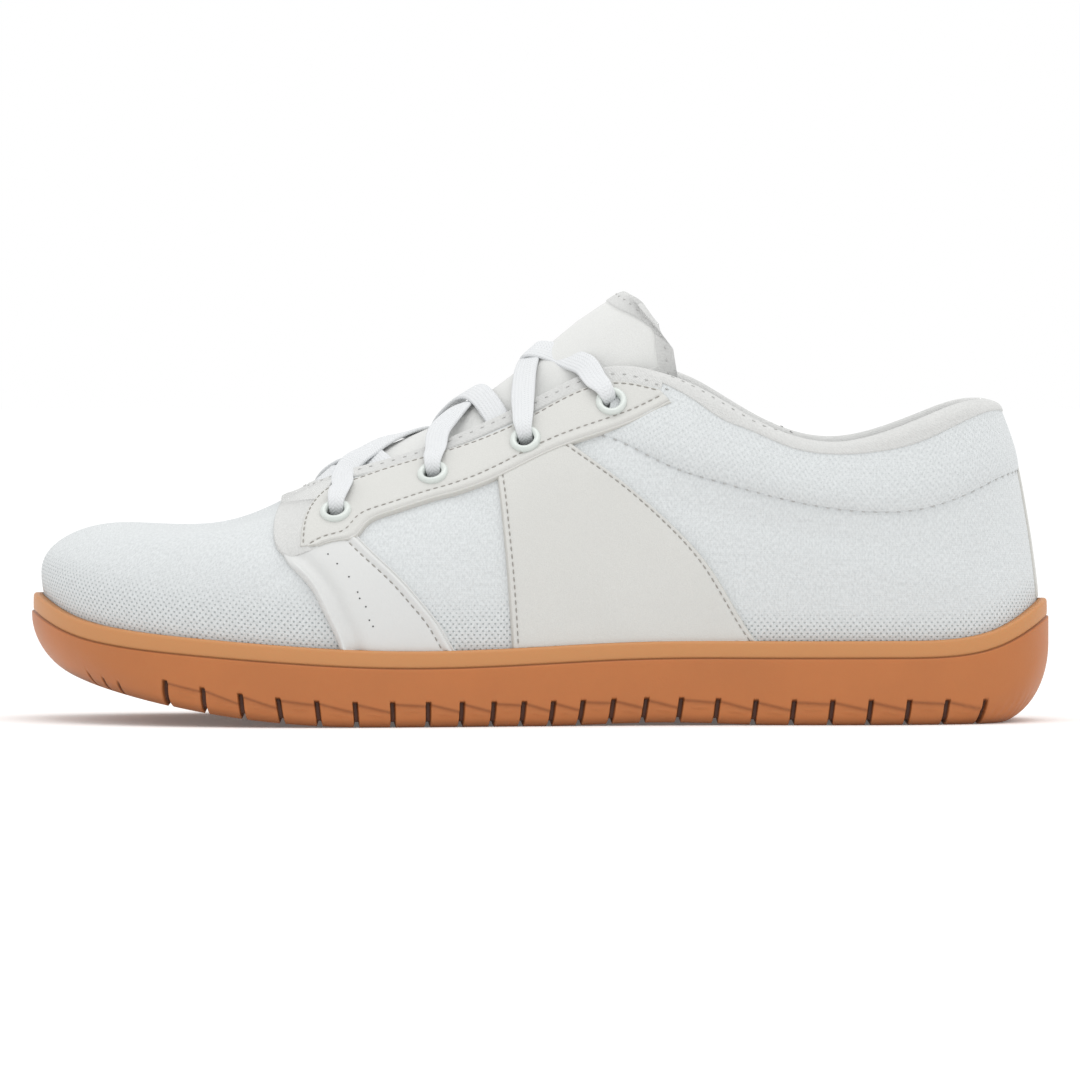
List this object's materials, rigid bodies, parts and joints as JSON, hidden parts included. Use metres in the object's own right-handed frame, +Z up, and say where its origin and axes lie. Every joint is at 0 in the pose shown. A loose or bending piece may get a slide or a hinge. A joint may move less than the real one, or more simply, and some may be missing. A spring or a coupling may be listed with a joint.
{
  "type": "barefoot shoe",
  "caption": "Left low-cut barefoot shoe with a wide toe box, knit upper, stitched overlays, flat crossed lace and a thin gum cup sole with ribbed side and grooved tread.",
  "frame": {"origin": "middle of the bounding box at floor level, under the shoe's middle", "axes": "+X towards the toe, +Y towards the outer side of the left foot, +Z up"},
  "size_m": [0.288, 0.1063, 0.1215],
  "materials": {
    "gum_rubber": "satin moulded gum rubber, ribbed side and grooved tread",
    "white_knit": "matte engineered knit with small staggered holes",
    "white_suede": "fine white suede, stitched edges",
    "white_leather": "smooth matte white leather, punched and stitched",
    "white_cotton": "flat woven white cotton",
    "pale_enamel": "glossy pale enamel over pressed metal rings",
    "grey_foam": "textile-faced foam footbed"
  },
  "bodies": {
    "root": {"outsole": "gum_rubber", "insole": "grey_foam", "upper": "white_knit", "tongue": "white_cotton", "eyestay_lateral": "white_suede", "eyestay_medial": "white_suede", "forefoot_strip_lateral": "white_leather", "forefoot_strip_medial": "white_leather", "saddle_lateral": "white_suede", "saddle_medial": "white_suede", "collar_panel": "white_knit", "heel_strip": "white_suede", "eyelet_lateral_1": "pale_enamel", "eyelet_lateral_2": "pale_enamel", "eyelet_lateral_3": "pale_enamel", "eyelet_lateral_4": "pale_enamel", "eyelet_medial_1": "pale_enamel", "eyelet_medial_2": "pale_enamel", "eyelet_medial_3": "pale_enamel", "eyelet_medial_4": "pale_enamel", "lace_crossing_1": "white_cotton", "lace_crossing_2": "white_cotton", "lace_crossing_3": "white_cotton"}
  },
  "joints": []
}
